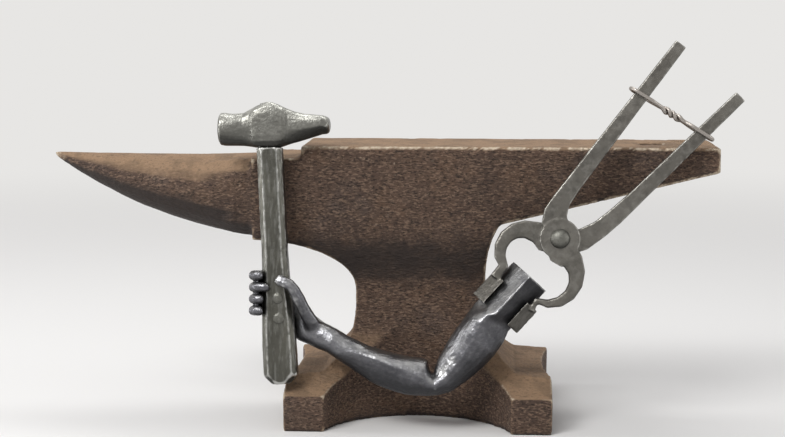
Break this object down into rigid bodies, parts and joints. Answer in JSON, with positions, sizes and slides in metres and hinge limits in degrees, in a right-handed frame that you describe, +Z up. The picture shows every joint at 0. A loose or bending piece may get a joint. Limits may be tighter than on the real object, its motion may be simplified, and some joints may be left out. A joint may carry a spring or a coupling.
{
  "type": "forged arm sculpture on a smith's anvil",
  "caption": "Forged steel arm whose fist grips a cross-peen hammer, its bar end held in smith's tongs closed by a wire ring, leaning on an anvil with a round horn.",
  "frame": {"origin": "on the floor under the middle of the anvil's base", "axes": "+X towards the anvil's heel and -X towards its horn, +Z up, and -Y towards the side on which the arm leans"},
  "size_m": [0.8477, 0.2683, 0.4651],
  "materials": {
    "anvil_iron": "brown rust worn bare on the edges",
    "forged_steel": "hammered, oiled grey scale",
    "bright_steel": "rivet heads worn bright",
    "tongs_steel": "hammered dark grey scale",
    "wire_steel": "dark drawn wire"
  },
  "bodies": {
    "sculpture": {"anvil": "anvil_iron", "hammer_head": "forged_steel", "hammer_handle": "forged_steel", "handle_rivet_upper": "bright_steel", "handle_rivet_lower": "bright_steel", "palm": "forged_steel", "thumb": "forged_steel", "index_finger": "forged_steel", "middle_finger": "forged_steel", "ring_finger": "forged_steel", "little_finger": "forged_steel", "forearm": "forged_steel", "upper_arm": "forged_steel", "tongs_back_half": "tongs_steel", "tongs_rivet": "tongs_steel"},
    "front_half": {"tongs_front_half": "tongs_steel"},
    "ring": {"rein_ring": "wire_steel"}
  },
  "joints": [
    {"name": "tongs_pivot", "type": "hinge", "parent": "sculpture", "child": "front_half", "pos_m": [0.16739, -0.09754, 0.23088], "axis": [0, -0.9877, 0.1564], "range_deg": [0, 6]},
    {"name": "ring_slide", "type": "slide", "parent": "sculpture", "child": "ring", "axis": [-0.7133, -0.1096, -0.6923], "range_m": [0, 0.0881]}
  ],
  "couplings": [
    {"joint": "ring_slide", "follows": "tongs_pivot", "m_per_rad": 0.84}
  ]
}
